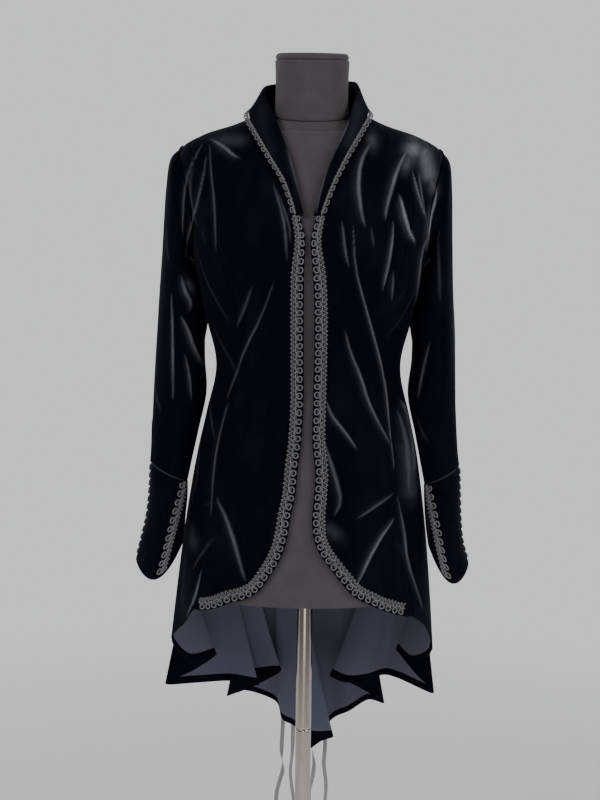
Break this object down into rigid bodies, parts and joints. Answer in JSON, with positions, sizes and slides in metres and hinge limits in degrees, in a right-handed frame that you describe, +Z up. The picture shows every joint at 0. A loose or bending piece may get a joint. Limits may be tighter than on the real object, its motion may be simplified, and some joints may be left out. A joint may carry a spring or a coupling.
{
  "type": "gothic victorian jacket on limbless dress form",
  "caption": "Long-sleeved velvet jacket with rolled collar, loop gimp, vented cuffs and fluted high-low hem, on a limbless dress form with pole and round base.",
  "frame": {"origin": "centre of the base's underside, on the pole's axis", "axes": "+Z up, -Y towards the jacket's open front, +X towards the wearer's left, which is the right of a picture taken from the front"},
  "size_m": [0.48, 0.4503, 1.5086],
  "materials": {
    "velvet": "blue-black stretch velvet",
    "gimp": "black loop gimp braid",
    "satin": "grey satin ribbon",
    "jersey": "dark warm-grey stretch jersey cover",
    "chrome": "polished"
  },
  "bodies": {
    "root": {"back_left": "velvet", "back_right": "velvet", "base": "chrome", "collar": "velvet", "cuff_left": "velvet", "cuff_right": "velvet", "form_cap": "jersey", "form_neck": "jersey", "form_torso": "jersey", "front_left": "velvet", "front_right": "velvet", "gimp_collar_left": "gimp", "gimp_collar_right": "gimp", "gimp_cuff_back_left": "gimp", "gimp_cuff_back_right": "gimp", "gimp_cuff_front_left": "gimp", "gimp_cuff_front_right": "gimp", "gimp_front_left": "gimp", "gimp_front_right": "gimp", "pole_lower": "chrome", "pole_upper": "chrome", "ribbon_1": "satin", "ribbon_2": "satin", "ribbon_3": "satin", "ribbon_4": "satin", "ribbon_knot": "satin", "side_back_left": "velvet", "side_back_right": "velvet", "side_front_left": "velvet", "side_front_right": "velvet", "sleeve_left": "velvet", "sleeve_right": "velvet", "tie_left": "satin", "tie_right": "satin"}
  },
  "joints": []
}
